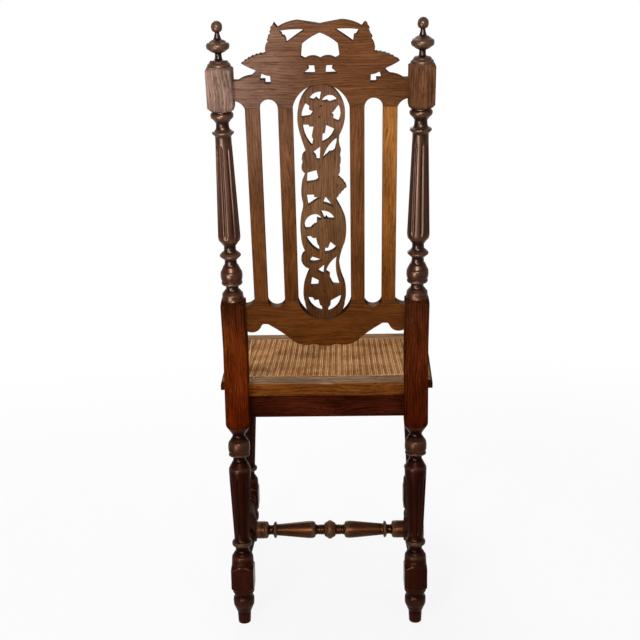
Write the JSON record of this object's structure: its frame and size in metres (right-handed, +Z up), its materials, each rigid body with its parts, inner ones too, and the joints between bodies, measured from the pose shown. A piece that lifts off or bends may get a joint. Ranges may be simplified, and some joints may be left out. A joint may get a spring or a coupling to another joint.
{
  "type": "hall chair",
  "caption": "Oak hall chair with turned legs and stretchers, a caned seat in a moulded frame, and a raked back of slats around a pierced vine splat under a pierced crest rail",
  "frame": {"origin": "centre of the chair's overall box, on the floor", "axes": "+Z up, the sitter faces -Y, +X is the sitter's left"},
  "size_m": [0.4338, 0.575, 1.0662],
  "materials": {
    "dark_oak": "dark red-brown stain under rubbed varnish",
    "brown_oak": "medium brown stain under thin worn varnish",
    "seat_oak": "worn brown stain",
    "bare_oak": "sawn, unfinished",
    "cane": "split rattan cane, aged to golden tan"
  },
  "bodies": {
    "root": {"rear_post_left": "dark_oak", "rear_post_right": "dark_oak", "front_leg_left": "dark_oak", "front_leg_right": "dark_oak", "side_stretcher_left": "dark_oak", "side_stretcher_right": "dark_oak", "cross_stretcher": "dark_oak", "rear_seat_rail": "dark_oak", "front_seat_rail": "dark_oak", "side_seat_rail_left": "dark_oak", "side_seat_rail_right": "dark_oak", "rear_corner_block_left": "bare_oak", "rear_corner_block_right": "bare_oak", "front_corner_block_left": "bare_oak", "front_corner_block_right": "bare_oak", "seat_frame_front": "seat_oak", "seat_frame_rear": "seat_oak", "seat_frame_side_left": "seat_oak", "seat_frame_side_right": "seat_oak", "cane_panel": "cane", "crest_rail": "brown_oak", "lower_back_rail": "brown_oak", "pierced_splat": "brown_oak", "slat_outer_left": "brown_oak", "slat_outer_right": "brown_oak", "slat_inner_left": "brown_oak", "slat_inner_right": "brown_oak"}
  },
  "joints": []
}
